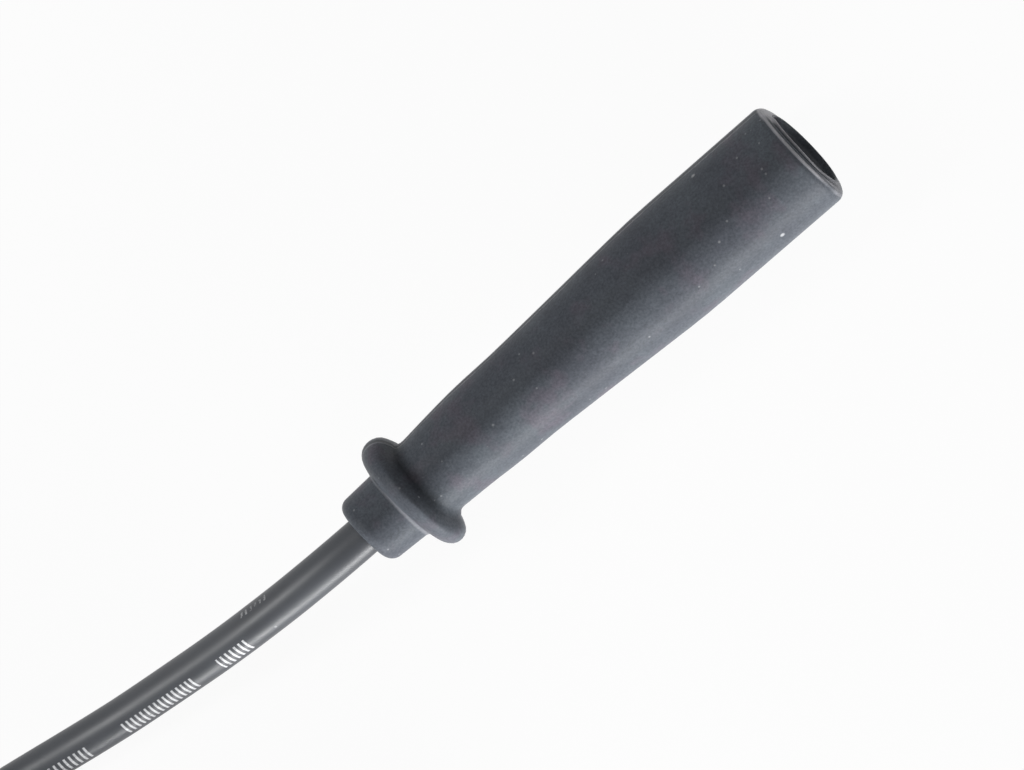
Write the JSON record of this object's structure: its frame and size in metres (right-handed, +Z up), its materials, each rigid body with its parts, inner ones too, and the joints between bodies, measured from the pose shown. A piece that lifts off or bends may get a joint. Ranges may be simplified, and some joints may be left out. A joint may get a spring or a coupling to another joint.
{
  "type": "spark plug lead",
  "caption": "Silicone ignition lead with a long straight collared rubber boot that snaps onto a plug, coiled, with a short straight cap boot.",
  "frame": {"origin": "on the floor under the middle of the plug boot, which lies on its collar and on the edge of its mouth", "axes": "+X along the plug boot toward its open mouth, +Z up from the floor, +Y to the boot's left seen from its neck"},
  "size_m": [0.2531, 0.0825, 0.0224],
  "materials": {
    "boot_rubber": "matte, fine moulded grain",
    "lead_silicone": "satin extruded silicone with plain white marks",
    "terminal_brass": "stamped and rolled sheet",
    "spring_steel": "bright drawn wire",
    "core_carbon": "carbon-filled fibre strand",
    "tie_nylon": "moulded nylon strap"
  },
  "bodies": {
    "root": {"plug_boot": "boot_rubber", "plug_terminal": "terminal_brass", "plug_terminal_spring": "spring_steel", "plug_core_end": "core_carbon", "plug_lead_end": "lead_silicone", "lead_run": "lead_silicone", "lead_coil": "lead_silicone", "coil_tie": "tie_nylon", "lead_tail": "lead_silicone", "cap_boot": "boot_rubber", "cap_terminal": "terminal_brass", "cap_terminal_spring": "spring_steel", "cap_core_end": "core_carbon", "cap_lead_end": "lead_silicone"}
  },
  "joints": []
}
